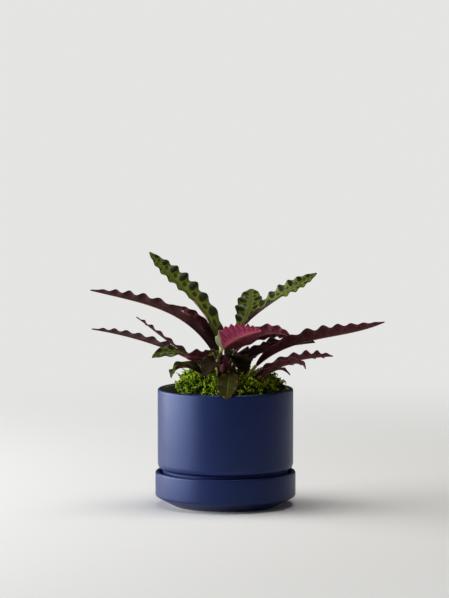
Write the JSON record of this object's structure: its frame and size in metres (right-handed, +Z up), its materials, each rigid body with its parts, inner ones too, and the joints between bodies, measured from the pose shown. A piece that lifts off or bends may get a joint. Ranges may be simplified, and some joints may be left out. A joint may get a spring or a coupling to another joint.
{
  "type": "potted rattlesnake plant",
  "caption": "Low houseplant with wavy-edged lance-shaped leaves above green moss, in a straight round stoneware pot on a matching drip saucer.",
  "frame": {"origin": "centre of the saucer's underside, on the surface it stands on", "axes": "+Z up, -Y towards the viewer of the picture, +X to the viewer's right; the longest leaves reach along X"},
  "size_m": [0.3284, 0.1975, 0.2813],
  "materials": {
    "saucer_stoneware": "matte navy stoneware, bare clay-coloured foot",
    "pot_stoneware": "matte navy stoneware",
    "soil": "crumbly dark potting mix",
    "moss": "bright green curly preserved moss",
    "stalk": "smooth pale green-brown leaf stalks",
    "leaf": "satin leaf, green with dark blotches above and burgundy below"
  },
  "bodies": {
    "root": {"saucer": "saucer_stoneware", "pot": "pot_stoneware", "soil": "soil", "moss": "moss", "stalks": "stalk", "leaf_upper_left": "leaf", "leaf_left": "leaf", "leaf_left_edge_on": "leaf", "leaf_low_left": "leaf", "leaf_front_left": "leaf", "leaf_over_moss_left": "leaf", "leaf_dark_left": "leaf", "leaf_left_inner": "leaf", "leaf_top": "leaf", "leaf_upper_right": "leaf", "leaf_front_centre": "leaf", "leaf_right_inner": "leaf", "leaf_right": "leaf", "leaf_back_right": "leaf", "leaf_low_right": "leaf", "leaf_front_right": "leaf", "leaf_hook": "leaf", "leaf_spear": "leaf", "leaf_over_rim": "leaf", "leaf_dark_inner": "leaf", "leaf_dark_centre": "leaf", "leaf_back_left": "leaf", "leaf_back": "leaf"}
  },
  "joints": []
}
